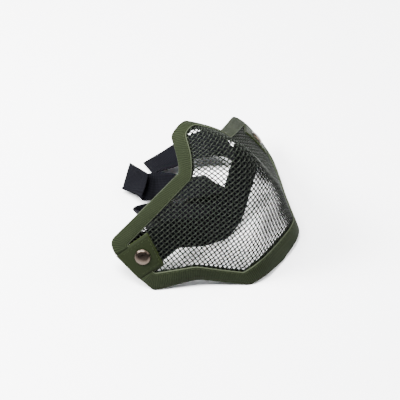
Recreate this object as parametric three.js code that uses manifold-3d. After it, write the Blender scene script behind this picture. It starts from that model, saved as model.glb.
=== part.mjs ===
// Lower-face mask for sport: a pressed steel-mesh shell with a nose ridge, cloth tape folded
// over its edges, a riveted tab at each ear and elastic straps.
// Millimetres, +Z up. The mask rests on its jaw and chin, leaning back, and its front faces -Y.
// The wearer's left is +X. The shell is described in its own net: "across" is measured along the
// mesh from the centre line, "down" along the chord from the top of the nose to the chin.

import * as THREE from 'three';
import { mergeVertices } from 'three/addons/utils/BufferGeometryUtils.js';
import Module from 'manifold-3d';

// Driving dimensions

const MESH_THICK = 1.2;
const TAPE_THICK = 1;
const HEAD_STRAP_WIDTH = 22;
const END_STRAP_WIDTH = 22;
const STRAP_THICK = 1.2;
const SEAT_GAP = 0.3;
const TAPE_CLEARANCE = 0.5;
// A flat strap on the hollow side of the tab needs more room at its middle than at its edges
const STRAP_CLEARANCE = 0.9;

// Where the top of the nose sits, and how far the chord from nose to chin leans back
const NOSE_TOP = { y: 10.2, z: 86 };
const LEAN = THREE.MathUtils.degToRad(47.55);

// Cross sections of the shell, from above the nose to below the chin. Each one is a flat front,
// an arc, a straight side, a blending arc and a straight wing. Angles are in degrees.
const SECTIONS = [
  { level: -12, front: -20.0, flat: 0, radius: 8, side: 58, sideLength: 28, wing: 46, blend: 30 },
  { level: 0, front: 0.0, flat: 0, radius: 8, side: 58, sideLength: 28, wing: 46, blend: 30 },
  { level: 20, front: 30.0, flat: 0, radius: 9, side: 60, sideLength: 30, wing: 46, blend: 30 },
  { level: 35, front: 41.5, flat: 0, radius: 11, side: 60, sideLength: 30, wing: 47, blend: 30 },
  { level: 48, front: 42.0, flat: 1, radius: 14, side: 57, sideLength: 26, wing: 47, blend: 40 },
  { level: 68, front: 36.3, flat: 3, radius: 20, side: 52, sideLength: 20, wing: 48, blend: 40 },
  { level: 85, front: 28.0, flat: 6, radius: 26, side: 50, sideLength: 15, wing: 49, blend: 40 },
  { level: 102, front: 16.5, flat: 9, radius: 27, side: 50, sideLength: 15, wing: 50, blend: 40 },
  { level: 128, front: 2.0, flat: 13, radius: 26, side: 50, sideLength: 15, wing: 50, blend: 40 },
  { level: 140, front: -6.0, flat: 14, radius: 26, side: 50, sideLength: 15, wing: 50, blend: 40 },
];

// Corners of the taped edge on one half: the free edge and the tape's inner edge, each as
// across, down and corner radius. "runs" is the number of steps up to the next corner.
const TOP_EDGE = [
  { name: 'nose top', free: [0, 0.6, 0], inner: [0, 6.4, 0], runs: 1 },
  { name: 'nose shoulder', free: [9.5, 1.6, 26], inner: [4.4, 6.8, 9], runs: 4 },
  { name: 'under the eye', free: [42.5, 25, 13], inner: [41, 33.2, 13], runs: 8 },
  { name: 'upper ear', free: [121.4, 36.8, 9], inner: [109.5, 45.6, 1.2], runs: 1 },
  { name: 'tab', free: [121.6, 47, 0], inner: [109.2, 47, 0], runs: 0 },
];
const BOTTOM_EDGE = [
  { name: 'tab', free: [113.8, 71.5, 0], inner: [101.6, 71.5, 0], runs: 1 },
  { name: 'lower ear', free: [107.4, 85, 8], inner: [100.6, 73.8, 1.2], runs: 3 },
  { name: 'jaw', free: [72, 96.4, 40], inner: [69, 86.8, 40], runs: 3 },
  { name: 'chin corner', free: [33.5, 124.8, 6], inner: [35, 112.2, 2], runs: 4 },
  { name: 'chin', free: [0, 129, 0], inner: [0, 113, 0], runs: 0 },
];
const CORNER_STEPS = 4;

// Insets across the tape, from its outermost line towards the mesh
const FOLD_INSET = 1.2;
const SLOT_INSET = 2.3;
const SHELL_INSET = 3.8;
// Height of the rounded fold, as a share of the tape's outer face
const FOLD_ROUND = 0.45;

const SHELL_COLUMNS = { centre: 9, centreSteps: 4, wingSteps: 18 };
const SHELL_ROWS = 12;
const EAR_TRIM = 0.8;

const TAB = { top: 47.6, bottom: 70.9, inner: 92, thick: 1, overhang: 0.4, steps: 6 };
const RIVET = { across: 103.5, down: 58.5, head: 5.8, rim: 0.5, dome: 1.9, shank: 1.5, sides: 20 };
const RIVET_CAP = { radius: 4.6, thick: 1.2 };
const HOLE = { radius: 1.9, length: 24, sides: 12 };

// A strap starts flat on the inside of its tab, under the rivet, and lifts off the shell:
// across on the shell's net, and how far it has lifted from its seat.
const HEAD_SEAT = [
  { across: 109, lift: 0 },
  { across: 103.5, lift: 0 },
  { across: 96, lift: 0 },
  { across: 89, lift: 0.3 },
  { across: 78, lift: 4.4 },
];
const END_SEAT = [
  { across: 109, lift: 0 },
  { across: 103.5, lift: 0 },
  { across: 96, lift: 0.3 },
  { across: 91, lift: 2.2 },
];

// Strap routes after that: centre of the strap and the direction of its width.
// The head strap is the right half, up to the middle of the chin.
const HEAD_STRAP = [
  { x: -28, y: -26, z: 17, wx: 0.14, wy: 0.76, wz: 0.64 },
  { x: -9, y: -32.4, z: 9.4, wx: 0.06, wy: 0.8, wz: 0.6 },
];
const RIGHT_STRAP = [
  { x: -47.2, y: -11.4, z: 26.4, wx: 0.12, wy: 0.7, wz: 0.7 },
  { x: -47.4, y: 3, z: 29.4, wx: -0.2, wy: 0.62, wz: 0.76 },
  { x: -43.4, y: 11.6, z: 20.4, wx: -0.12, wy: 0.5, wz: 0.86 },
  { x: -36.5, y: 14.6, z: 12.8, wx: 0.02, wy: 0.52, wz: 0.85 },
  { x: -24, y: 9, z: 8.5, wx: 0.06, wy: 0.75, wz: 0.66 },
  { x: -9, y: -3, z: 3.2, wx: 0.06, wy: 0.98, wz: 0.18 },
  { x: 6, y: -6.6, z: 1.32, wx: 0.08, wy: 1, wz: 0 },
  { x: 24.4, y: -6.2, z: 1.7, wx: 0.1, wy: 1, wz: 0 },
  { x: 29, y: -5.4, z: 4.4, wx: 0.1, wy: 1, wz: 0 },
  { x: 24.4, y: -3.6, z: 7.3, wx: 0.18, wy: 0.98, wz: 0 },
  { x: 9, y: 6.6, z: 7.8, wx: 0.55, wy: 0.83, wz: 0 },
  { x: -1, y: 20, z: 8, wx: 0.66, wy: 0.58, wz: 0.42 },
  { x: -6.5, y: 31, z: 7.4, wx: 0.62, wy: 0.63, wz: 0.36 },
  { x: -12, y: 38, z: 6, wx: 0.45, wy: 0.88, wz: 0 },
  { x: -16.5, y: 40.6, z: 5.8, wx: 0.15, wy: 0.94, wz: -0.3 },
  { x: -18.2, y: 41, z: 7.4, wx: 0.1, wy: 0.93, wz: -0.35 },
  { x: -16.5, y: 41.4, z: 9.2, wx: 0.06, wy: 0.93, wz: -0.35 },
  { x: -7, y: 45.5, z: 11.6, wx: 0, wy: 0.92, wz: -0.4 },
  { x: 3, y: 50.5, z: 13.2, wx: 0.1, wy: 0.88, wz: -0.46 },
];
const LEFT_STRAP = [
  { x: 47.4, y: -14.6, z: 24.2, wx: -0.19, wy: 0.68, wz: 0.71 },
  { x: 50, y: 9, z: 25, wx: 0.3, wy: 0.76, wz: 0.58 },
  { x: 46, y: 22, z: 18, wx: 0.5, wy: 0.78, wz: 0.36 },
  { x: 38, y: 33, z: 12.6, wx: 0.5, wy: 0.84, wz: 0.12 },
  { x: 26, y: 42, z: 8.6, wx: 0.44, wy: 0.87, wz: -0.18 },
  { x: 10.5, y: 48.5, z: 6.2, wx: 0.37, wy: 0.84, wz: -0.4 },
];
const STRAP_STEPS = 3;

// Finishes

const FINISH = {
  mesh: new THREE.MeshStandardMaterial({ color: 0x4d574b, roughness: 0.55, metalness: 0.35 }),
  tape: new THREE.MeshStandardMaterial({ color: 0x47562f, roughness: 0.9, metalness: 0 }),
  tab: new THREE.MeshStandardMaterial({ color: 0x46601f, roughness: 0.8, metalness: 0 }),
  strap: new THREE.MeshStandardMaterial({ color: 0x17181b, roughness: 0.9, metalness: 0 }),
  rivet: new THREE.MeshStandardMaterial({ color: 0x6b6255, roughness: 0.35, metalness: 0.9 }),
};

const wasm = await Module();
wasm.setup();

// The shell's surface

// Smooth value of every section column at a level, as a cubic through the table's rows.
function sectionAt(level) {
  const last = SECTIONS.length - 2;
  let i = SECTIONS.findIndex((row, k) => k <= last && level < SECTIONS[k + 1].level);
  if (i < 0) i = last;
  const a = SECTIONS[i];
  const b = SECTIONS[i + 1];
  const span = b.level - a.level;
  const t = (level - a.level) / span;
  const slope = (k, key) => {
    const lo = SECTIONS[Math.max(k - 1, 0)];
    const hi = SECTIONS[Math.min(k + 1, SECTIONS.length - 1)];
    return (hi[key] - lo[key]) / (hi.level - lo.level);
  };
  const value = {};
  for (const key of Object.keys(a)) {
    value[key] = a[key] * (2 * t ** 3 - 3 * t ** 2 + 1)
      + slope(i, key) * span * (t ** 3 - 2 * t ** 2 + t)
      + b[key] * (3 * t ** 2 - 2 * t ** 3)
      + slope(i + 1, key) * span * (t ** 3 - t ** 2);
  }
  return value;
}

// Sideways and forward place on a section, at a distance along it from the centre line.
function alongSection(across, level) {
  const s = sectionAt(level);
  const side = THREE.MathUtils.degToRad(s.side);
  const wing = THREE.MathUtils.degToRad(s.wing);
  let left = Math.abs(across);
  let x = 0;
  let forward = s.front;
  const take = (length) => {
    const part = Math.min(left, length);
    left -= part;
    return part;
  };
  x += take(s.flat);
  const turned = take(s.radius * side) / s.radius;
  x += s.radius * Math.sin(turned);
  forward -= s.radius * (1 - Math.cos(turned));
  const straight = take(s.sideLength);
  x += straight * Math.cos(side);
  forward -= straight * Math.sin(side);
  const angle = side - take(s.blend * (side - wing)) / s.blend;
  x += s.blend * (Math.sin(side) - Math.sin(angle));
  forward -= s.blend * (Math.cos(angle) - Math.cos(side));
  const rest = take(Infinity);
  x += rest * Math.cos(wing);
  forward -= rest * Math.sin(wing);
  return { x: Math.sign(across) * x, forward };
}

// Middle surface of the mesh in the part's frame.
function surfacePoint(across, down) {
  const { x, forward } = alongSection(across, down);
  const y = NOSE_TOP.y - down * Math.sin(LEAN) - forward * Math.cos(LEAN);
  const z = NOSE_TOP.z - down * Math.cos(LEAN) + forward * Math.sin(LEAN);
  return new THREE.Vector3(x, y, z);
}

function surfaceNormal(across, down) {
  const step = 0.4;
  const sideways = surfacePoint(across + step, down).sub(surfacePoint(across - step, down));
  const downwards = surfacePoint(across, down + step).sub(surfacePoint(across, down - step));
  return downwards.cross(sideways).normalize();
}

// Point off the middle surface: positive is outside.
function offsetPoint(across, down, offset) {
  return surfacePoint(across, down).addScaledVector(surfaceNormal(across, down), offset);
}

// Closed bodies from rings and grids

function geometryFrom(points, triangles) {
  const geometry = new THREE.BufferGeometry();
  const flat = points.flatMap((p) => [p.x, p.y, p.z]);
  geometry.setAttribute('position', new THREE.Float32BufferAttribute(flat, 3));
  geometry.setIndex(triangles);
  geometry.computeVertexNormals();
  return geometry;
}

// Enclosed volume, negative where the faces point in.
function signedVolume(points, triangles) {
  let volume = 0;
  for (let i = 0; i < triangles.length; i += 3) {
    const [a, b, c] = triangles.slice(i, i + 3).map((k) => points[k]);
    volume += a.dot(b.clone().cross(c)) / 6;
  }
  return volume;
}

function closedBody(points, triangles) {
  const outward = signedVolume(points, triangles) > 0;
  const faces = outward ? triangles : triangles.slice().reverse();
  return geometryFrom(points, faces);
}

// Body skinned over rings of equal length. The caps list four ring points for each face that
// closes an end.
function skinRings(rings, caps) {
  const count = rings[0].length;
  const points = rings.flat();
  const triangles = [];
  const quad = (a, b, c, d) => triangles.push(a, b, c, a, c, d);
  for (let i = 0; i + 1 < rings.length; i += 1) {
    for (let j = 0; j < count; j += 1) {
      const k = (j + 1) % count;
      quad(i * count + j, i * count + k, (i + 1) * count + k, (i + 1) * count + j);
    }
  }
  const end = (rings.length - 1) * count;
  for (const [a, b, c, d] of caps) {
    quad(d, c, b, a);
    quad(end + a, end + b, end + c, end + d);
  }
  return closedBody(points, triangles);
}

// Body between two grids of the same size, the outer and the inner face of a wall.
function skinWall(outer, inner) {
  const rows = outer.length;
  const columns = outer[0].length;
  const points = [...outer.flat(), ...inner.flat()];
  const half = rows * columns;
  const at = (r, c) => r * columns + c;
  const triangles = [];
  const quad = (a, b, c, d) => triangles.push(a, b, c, a, c, d);
  for (let r = 0; r + 1 < rows; r += 1) {
    for (let c = 0; c + 1 < columns; c += 1) {
      quad(at(r, c), at(r, c + 1), at(r + 1, c + 1), at(r + 1, c));
      quad(half + at(r, c), half + at(r + 1, c), half + at(r + 1, c + 1), half + at(r, c + 1));
    }
  }
  const rim = (a, b) => quad(b, a, half + a, half + b);
  for (let c = 0; c + 1 < columns; c += 1) {
    rim(at(0, c), at(0, c + 1));
    rim(at(rows - 1, c + 1), at(rows - 1, c));
  }
  for (let r = 0; r + 1 < rows; r += 1) {
    rim(at(r + 1, 0), at(r, 0));
    rim(at(r, columns - 1), at(r + 1, columns - 1));
  }
  return closedBody(points, triangles);
}

function toSolid(geometry) {
  const bare = geometry.clone();
  bare.deleteAttribute('normal');
  if (bare.getAttribute('uv')) bare.deleteAttribute('uv');
  const merged = mergeVertices(bare);
  return new wasm.Manifold(new wasm.Mesh({
    numProp: 3,
    vertProperties: new Float32Array(merged.getAttribute('position').array),
    triVerts: new Uint32Array(merged.getIndex().array),
  }));
}

function fromSolid(solid) {
  const mesh = solid.getMesh();
  const geometry = new THREE.BufferGeometry();
  geometry.setAttribute('position', new THREE.Float32BufferAttribute(mesh.vertProperties, 3));
  geometry.setIndex(Array.from(mesh.triVerts));
  geometry.computeVertexNormals();
  return geometry;
}

// Rivet axis on one side: -1 is the wearer's right, +1 the left.
function rivetFrame(hand) {
  const across = hand * RIVET.across;
  return {
    centre: surfacePoint(across, RIVET.down),
    turn: new THREE.Quaternion().setFromUnitVectors(
      new THREE.Vector3(0, 1, 0),
      surfaceNormal(across, RIVET.down),
    ),
  };
}

function drillForRivets(geometry, hands) {
  let solid = toSolid(geometry);
  for (const hand of hands) {
    const { centre, turn } = rivetFrame(hand);
    const drill = new THREE.CylinderGeometry(HOLE.radius, HOLE.radius, HOLE.length, HOLE.sides);
    drill.applyQuaternion(turn).translate(centre.x, centre.y, centre.z);
    solid = solid.subtract(toSolid(drill));
  }
  return fromSolid(solid);
}

// The taped edge

// Polyline with rounded corners as across and down pairs. Every path of one edge table has the
// same number of samples, so that the free and the inner edge match one to one.
function roundedPath(rows, key) {
  const corners = rows.map((row) => new THREE.Vector2(row[key][0], row[key][1]));
  const path = [];
  const arcs = corners.map((corner, i) => {
    const radius = rows[i][key][2];
    if (i === 0 || i === corners.length - 1) return [corner];
    const back = corners[i - 1].clone().sub(corner).normalize();
    const on = corners[i + 1].clone().sub(corner).normalize();
    const halfAngle = Math.acos(THREE.MathUtils.clamp(back.dot(on), -1, 1)) / 2;
    const reach = radius / Math.tan(halfAngle);
    const start = corner.clone().addScaledVector(back, reach);
    const end = corner.clone().addScaledVector(on, reach);
    const bend = new THREE.QuadraticBezierCurve(start, corner, end);
    return bend.getPoints(CORNER_STEPS);
  });
  arcs.forEach((arc, i) => {
    path.push(...arc);
    const steps = rows[i].runs;
    for (let k = 1; k < steps; k += 1) {
      path.push(arc[arc.length - 1].clone().lerp(arcs[i + 1][0], k / steps));
    }
  });
  return path;
}

// Path over both halves, from the right ear to the left, through the centre line.
function mirroredPath(half, startsAtCentre) {
  const outwards = startsAtCentre ? half : half.slice().reverse();
  const right = outwards.slice(1).reverse().map((p) => new THREE.Vector2(-p.x, p.y));
  return [...right, ...outwards];
}

// Folded tape as rings round its U-shaped section.
function foldedTape(rows, startsAtCentre) {
  const free = mirroredPath(roundedPath(rows, 'free'), startsAtCentre);
  const inner = mirroredPath(roundedPath(rows, 'inner'), startsAtCentre);
  const slot = MESH_THICK / 2 + TAPE_CLEARANCE;
  const face = slot + TAPE_THICK;
  return free.map((edge, i) => {
    const width = surfacePoint(edge.x, edge.y).distanceTo(surfacePoint(inner[i].x, inner[i].y));
    const at = (inset, offset) => {
      const p = edge.clone().lerp(inner[i], inset / width);
      return offsetPoint(p.x, p.y, offset);
    };
    const outerHalf = [
      at(0, face * FOLD_ROUND), at(FOLD_INSET, face), at(width / 2, face), at(width, face),
      at(width, slot), at(width / 2, slot), at(SLOT_INSET, slot),
    ];
    const innerHalf = [
      at(SLOT_INSET, -slot), at(width / 2, -slot), at(width, -slot),
      at(width, -face), at(width / 2, -face), at(FOLD_INSET, -face), at(0, -face * FOLD_ROUND),
    ];
    return [...outerHalf, ...innerHalf];
  });
}

// A folded tape's two leaves are joined only along the fold, so its ends are closed leaf by leaf.
const TAPE_CAPS = [
  [1, 2, 5, 6],
  [2, 3, 4, 5],
  [7, 8, 11, 12],
  [8, 9, 10, 11],
  [0, 1, 6, 7],
  [0, 7, 12, 13],
];

// Cloth pressed flat on the surface that the mask stands on.
function pressFlat(geometry) {
  const position = geometry.getAttribute('position');
  for (let i = 0; i < position.count; i += 1) {
    position.setZ(i, Math.max(position.getZ(i), 0));
  }
  geometry.computeVertexNormals();
  return geometry;
}

function topBinding() {
  return skinRings(foldedTape(TOP_EDGE, true), TAPE_CAPS);
}

function bottomBinding() {
  return pressFlat(skinRings(foldedTape(BOTTOM_EDGE, false), TAPE_CAPS));
}

// The mesh shell

// Half outline of the wall, a fixed inset inside the free edge, from nose to chin.
function shellOutline() {
  const inset = (rows) => {
    const free = roundedPath(rows, 'free');
    const inner = roundedPath(rows, 'inner');
    return free.map((edge, i) => {
      const width = surfacePoint(edge.x, edge.y).distanceTo(surfacePoint(inner[i].x, inner[i].y));
      return edge.clone().lerp(inner[i], SHELL_INSET / width);
    });
  };
  return [...inset(TOP_EDGE), ...inset(BOTTOM_EDGE)];
}

// Down value where a run of the outline crosses a column.
function downAt(run, across) {
  for (let i = 0; i + 1 < run.length; i += 1) {
    const a = run[i];
    const b = run[i + 1];
    const inside = (across - a.x) * (across - b.x) <= 0;
    if (inside && a.x !== b.x) return a.y + ((b.y - a.y) * (across - a.x)) / (b.x - a.x);
  }
  return run[run.length - 1].y;
}

function meshShell() {
  const outline = shellOutline();
  const widest = outline.reduce((best, p, i) => (p.x > outline[best].x ? i : best), 0);
  const upper = outline.slice(0, widest + 1);
  const lower = outline.slice(widest);
  const reach = outline[widest].x - EAR_TRIM;
  const { centre, centreSteps, wingSteps } = SHELL_COLUMNS;
  const spread = (from, to, steps) => Array.from(
    { length: steps },
    (_, i) => from + ((to - from) * i) / steps,
  );
  const halfColumns = [
    ...spread(0, centre, centreSteps),
    ...spread(centre, reach, wingSteps),
    reach,
  ];
  const columns = [...halfColumns.slice(1).reverse().map((c) => -c), ...halfColumns];
  const face = (offset) => {
    const grid = [];
    for (let r = 0; r <= SHELL_ROWS; r += 1) {
      grid.push(columns.map((across) => {
        const top = downAt(upper, Math.abs(across));
        const bottom = downAt(lower, Math.abs(across));
        return offsetPoint(across, top + ((bottom - top) * r) / SHELL_ROWS, offset);
      }));
    }
    return grid;
  };
  return drillForRivets(skinWall(face(MESH_THICK / 2), face(-MESH_THICK / 2)), [-1, 1]);
}

// Ear tabs and rivets

// Free edge of the ear between the two tapes, at a down value.
function earEdge(down) {
  const a = TOP_EDGE[TOP_EDGE.length - 1].free;
  const b = BOTTOM_EDGE[0].free;
  return a[0] + ((b[0] - a[0]) * (down - a[1])) / (b[1] - a[1]);
}

function earTab(hand) {
  const slot = MESH_THICK / 2 + TAPE_CLEARANCE;
  const face = slot + TAB.thick;
  const rings = [];
  for (let i = 0; i <= TAB.steps; i += 1) {
    const down = THREE.MathUtils.lerp(TAB.top, TAB.bottom, i / TAB.steps);
    const edge = earEdge(down);
    const fold = edge + TAB.overhang;
    const middle = (edge + TAB.inner) / 2;
    const at = (across, offset) => offsetPoint(hand * across, down, offset);
    const outerHalf = [
      at(fold, face * FOLD_ROUND), at(edge - FOLD_INSET, face), at(middle, face), at(TAB.inner, face),
      at(TAB.inner, slot), at(middle, slot), at(edge - SLOT_INSET, slot),
    ];
    const innerHalf = [
      at(edge - SLOT_INSET, -slot), at(middle, -slot), at(TAB.inner, -slot),
      at(TAB.inner, -face), at(middle, -face), at(edge - FOLD_INSET, -face), at(fold, -face * FOLD_ROUND),
    ];
    rings.push([...outerHalf, ...innerHalf]);
  }
  return drillForRivets(skinRings(rings, TAPE_CAPS), [hand]);
}

// Offsets of the layers under the rivet, from the mesh inwards
const TAB_INSIDE = MESH_THICK / 2 + TAPE_CLEARANCE + TAB.thick;
const HEAD_STRAP_LAYER = TAB_INSIDE + STRAP_CLEARANCE + STRAP_THICK / 2;
const END_STRAP_LAYER = HEAD_STRAP_LAYER + STRAP_THICK + SEAT_GAP;

function rivet() {
  const seat = TAB_INSIDE + SEAT_GAP;
  const tail = -(END_STRAP_LAYER + STRAP_THICK / 2 + SEAT_GAP);
  const { head, rim, dome, shank, sides } = RIVET;
  const { radius, thick } = RIVET_CAP;
  const profile = [
    [0, tail - thick], [radius * 0.7, tail - thick], [radius, tail - thick * 0.5], [radius, tail],
    [shank, tail], [shank, seat], [head, seat], [head, seat + rim],
    [head * 0.86, seat + dome * 0.62], [head * 0.5, seat + dome * 0.92], [0, seat + dome],
  ].map(([r, y]) => new THREE.Vector2(r, y));
  return new THREE.LatheGeometry(profile, sides);
}

// Straps

// Stations of a strap: centre and unit width direction, smoothed through the given rows.
function smoothStations(rows) {
  const centres = new THREE.CatmullRomCurve3(rows.map((s) => s.centre), false, 'centripetal');
  const widths = new THREE.CatmullRomCurve3(rows.map((s) => s.width), false, 'centripetal');
  const count = (rows.length - 1) * STRAP_STEPS;
  const stations = [];
  for (let i = 0; i <= count; i += 1) {
    stations.push({
      centre: centres.getPoint(i / count),
      width: widths.getPoint(i / count).normalize(),
    });
  }
  return stations;
}

const STRAP_CAPS = [[0, 1, 2, 3]];

function strapBody(rows, strapWidth) {
  const stations = smoothStations(rows);
  const rings = stations.map(({ centre, width }, i) => {
    const before = stations[Math.max(i - 1, 0)].centre;
    const after = stations[Math.min(i + 1, stations.length - 1)].centre;
    const along = after.clone().sub(before).normalize();
    const side = width.clone().addScaledVector(along, -width.dot(along)).normalize();
    const face = along.clone().cross(side).normalize();
    const corner = (w, t) => centre.clone()
      .addScaledVector(side, (w * strapWidth) / 2)
      .addScaledVector(face, (t * STRAP_THICK) / 2);
    return [corner(-1, 1), corner(1, 1), corner(1, -1), corner(-1, -1)];
  });
  return skinRings(rings, STRAP_CAPS);
}

// Riveted end of a strap on the shell's inner side, and the points where it leaves the shell.
function seatRows(hand, layer, seat) {
  return seat.map(({ across, lift }) => {
    const centre = offsetPoint(hand * across, RIVET.down, -layer - lift);
    const upper = surfacePoint(hand * across, RIVET.down - 1);
    const width = upper.sub(surfacePoint(hand * across, RIVET.down + 1)).normalize();
    return { centre, width };
  });
}

function routeRows(table, mirror = 1) {
  return table.map((row) => ({
    centre: new THREE.Vector3(mirror * row.x, row.y, row.z),
    width: new THREE.Vector3(mirror * row.wx, row.wy, row.wz).normalize(),
  }));
}

function headStrap() {
  const near = [...seatRows(-1, HEAD_STRAP_LAYER, HEAD_SEAT), ...routeRows(HEAD_STRAP)];
  const far = [...seatRows(1, HEAD_STRAP_LAYER, HEAD_SEAT), ...routeRows(HEAD_STRAP, -1)];
  return drillForRivets(strapBody([...near, ...far.reverse()], HEAD_STRAP_WIDTH), [-1, 1]);
}

function endStrap(hand, table) {
  const rows = [...seatRows(hand, END_STRAP_LAYER, END_SEAT), ...routeRows(table)];
  return drillForRivets(strapBody(rows, END_STRAP_WIDTH), [hand]);
}

// Assembly

const mask = new THREE.Group();

function addMesh(name, geometry, material) {
  const mesh = new THREE.Mesh(geometry, material);
  mesh.name = name;
  mask.add(mesh);
  return mesh;
}

addMesh('mesh_shell', meshShell(), FINISH.mesh);
addMesh('top_binding', topBinding(), FINISH.tape);
addMesh('bottom_binding', bottomBinding(), FINISH.tape);
for (const [side, hand] of [['right', -1], ['left', 1]]) {
  addMesh(`ear_tab_${side}`, earTab(hand), FINISH.tab);
  const { centre, turn } = rivetFrame(hand);
  const head = addMesh(`rivet_${side}`, rivet(), FINISH.rivet);
  head.position.copy(centre);
  head.quaternion.copy(turn);
}
addMesh('head_strap', headStrap(), FINISH.strap);
addMesh('strap_right', endStrap(-1, RIGHT_STRAP), FINISH.strap);
addMesh('strap_left', endStrap(1, LEFT_STRAP), FINISH.strap);

// The origin is under the middle of the part, on the surface that it stands on
const extent = new THREE.Box3().setFromObject(mask);
mask.position.y = -(extent.min.y + extent.max.y) / 2;

export default mask;
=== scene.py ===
"""Dresses a lower-face mesh mask: woven wires, ribbed tapes, ear tabs, rivets and straps.

Lengths in the tables are millimetres. The shell is described in its own net: "across" runs along
the mesh from the centre line, "down" along the chord from the top of the nose to the chin.
"""

from __future__ import annotations

import logging
import math
from dataclasses import dataclass, field
from enum import Enum

import bmesh
import bpy
import numpy as np
from mathutils import Matrix, Vector

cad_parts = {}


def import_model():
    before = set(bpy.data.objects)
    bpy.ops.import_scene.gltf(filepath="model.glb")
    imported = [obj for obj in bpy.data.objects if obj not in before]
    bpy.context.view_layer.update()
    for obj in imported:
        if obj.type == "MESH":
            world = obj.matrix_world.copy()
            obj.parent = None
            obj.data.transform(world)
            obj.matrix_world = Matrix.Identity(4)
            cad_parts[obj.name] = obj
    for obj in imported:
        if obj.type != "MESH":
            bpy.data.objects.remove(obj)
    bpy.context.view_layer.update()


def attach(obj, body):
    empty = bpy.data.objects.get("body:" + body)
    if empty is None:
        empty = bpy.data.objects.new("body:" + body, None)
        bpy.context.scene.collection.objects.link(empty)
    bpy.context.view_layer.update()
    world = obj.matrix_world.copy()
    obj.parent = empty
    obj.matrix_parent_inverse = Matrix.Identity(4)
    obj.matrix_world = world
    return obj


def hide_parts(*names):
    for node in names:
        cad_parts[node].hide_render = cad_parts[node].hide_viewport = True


LOG = logging.getLogger("mesh_mask")
MM = 0.001
BODY = "root"
FULL_TURN = 2 * math.pi
Array = np.ndarray
Colour = tuple[float, float, float]
Piece = bpy.types.Object
Material = bpy.types.Material
Node = bpy.types.Node
Socket = bpy.types.NodeSocket


class Hand(Enum):
    """Side of the mask, as the wearer has it."""

    RIGHT = -1
    LEFT = 1

    @property
    def word(self) -> str:
        """Name used in piece names."""
        return self.name.lower()


class Slot(Enum):
    """Names of the mask's material slots."""

    MESH = "mesh"
    TAPE = "tape"
    TAB = "tab"
    RIVET = "rivet"
    STRAP = "strap"


@dataclass(frozen=True)
class SectionRow:
    """One cross section of the shell: flat front, arc, straight side, blend and straight wing."""

    level: float
    front: float
    flat: float
    radius: float
    side: float
    side_length: float
    wing: float
    blend: float


SECTIONS = (
    SectionRow(-12, -20.0, 0, 8, 58, 28, 46, 30),
    SectionRow(0, 0.0, 0, 8, 58, 28, 46, 30),
    SectionRow(20, 30.0, 0, 9, 60, 30, 46, 30),
    SectionRow(35, 41.5, 0, 11, 60, 30, 47, 30),
    SectionRow(48, 42.0, 1, 14, 57, 26, 47, 40),
    SectionRow(68, 36.3, 3, 20, 52, 20, 48, 40),
    SectionRow(85, 28.0, 6, 26, 50, 15, 49, 40),
    SectionRow(102, 16.5, 9, 27, 50, 15, 50, 40),
    SectionRow(128, 2.0, 13, 26, 50, 15, 50, 40),
    SectionRow(140, -6.0, 14, 26, 50, 15, 50, 40),
)


@dataclass(frozen=True)
class EdgeCorner:
    """Corner of a taped edge: free edge and inner edge as (across, down, radius), steps onward."""

    free: tuple[float, float, float]
    inner: tuple[float, float, float]
    runs: int


TOP_EDGE = (
    EdgeCorner((0, 0.6, 0), (0, 6.4, 0), 3),
    EdgeCorner((9.5, 1.6, 26), (4.4, 6.8, 9), 12),
    EdgeCorner((42.5, 25, 13), (41, 33.2, 13), 32),
    EdgeCorner((121.4, 36.8, 9), (109.5, 45.6, 1.2), 3),
    EdgeCorner((121.6, 47, 0), (109.2, 47, 0), 0),
)
BOTTOM_EDGE = (
    EdgeCorner((113.8, 71.5, 0), (101.6, 71.5, 0), 4),
    EdgeCorner((107.4, 85, 8), (100.6, 73.8, 1.2), 13),
    EdgeCorner((72, 96.4, 40), (69, 86.8, 40), 13),
    EdgeCorner((33.5, 124.8, 6), (35, 112.2, 2), 14),
    EdgeCorner((0, 129, 0), (0, 113, 0), 0),
)
CORNER_STEPS = 10


@dataclass(frozen=True)
class StrapRow:
    """Station of a strap: its centre, and the direction of its width."""

    x: float
    y: float
    z: float
    wx: float
    wy: float
    wz: float


# The head strap's route is its right half, up to the middle of the chin
HEAD_ROUTE = (
    StrapRow(-28, -26, 17, 0.14, 0.76, 0.64),
    StrapRow(-9, -32.4, 9.4, 0.06, 0.8, 0.6),
)
RIGHT_ROUTE = (
    StrapRow(-47.2, -11.4, 26.4, 0.12, 0.7, 0.7),
    StrapRow(-47.4, 3, 29.4, -0.2, 0.62, 0.76),
    StrapRow(-43.4, 11.6, 20.4, -0.12, 0.5, 0.86),
    StrapRow(-36.5, 14.6, 12.8, 0.02, 0.52, 0.85),
    StrapRow(-24, 9, 8.5, 0.06, 0.75, 0.66),
    StrapRow(-9, -3, 3.2, 0.06, 0.98, 0.18),
    StrapRow(6, -6.6, 1.32, 0.08, 1, 0),
    StrapRow(24.4, -6.2, 1.7, 0.1, 1, 0),
    StrapRow(29, -5.4, 4.4, 0.1, 1, 0),
    StrapRow(24.4, -3.6, 7.3, 0.18, 0.98, 0),
    StrapRow(10.5, 8, 8.6, 0.55, 0.83, 0),
    StrapRow(1, 22, 9.4, 0.66, 0.58, 0.42),
    StrapRow(-5, 32.4, 8.2, 0.62, 0.63, 0.36),
    StrapRow(-12, 38, 6, 0.45, 0.88, 0),
    StrapRow(-16.5, 40.6, 5.8, 0.15, 0.94, -0.3),
    StrapRow(-18.2, 41, 7.4, 0.1, 0.93, -0.35),
    StrapRow(-16.5, 41.4, 9.2, 0.06, 0.93, -0.35),
    StrapRow(-7, 45.5, 11.6, 0, 0.92, -0.4),
    StrapRow(3, 50.5, 13.2, 0.1, 0.88, -0.46),
)
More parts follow.
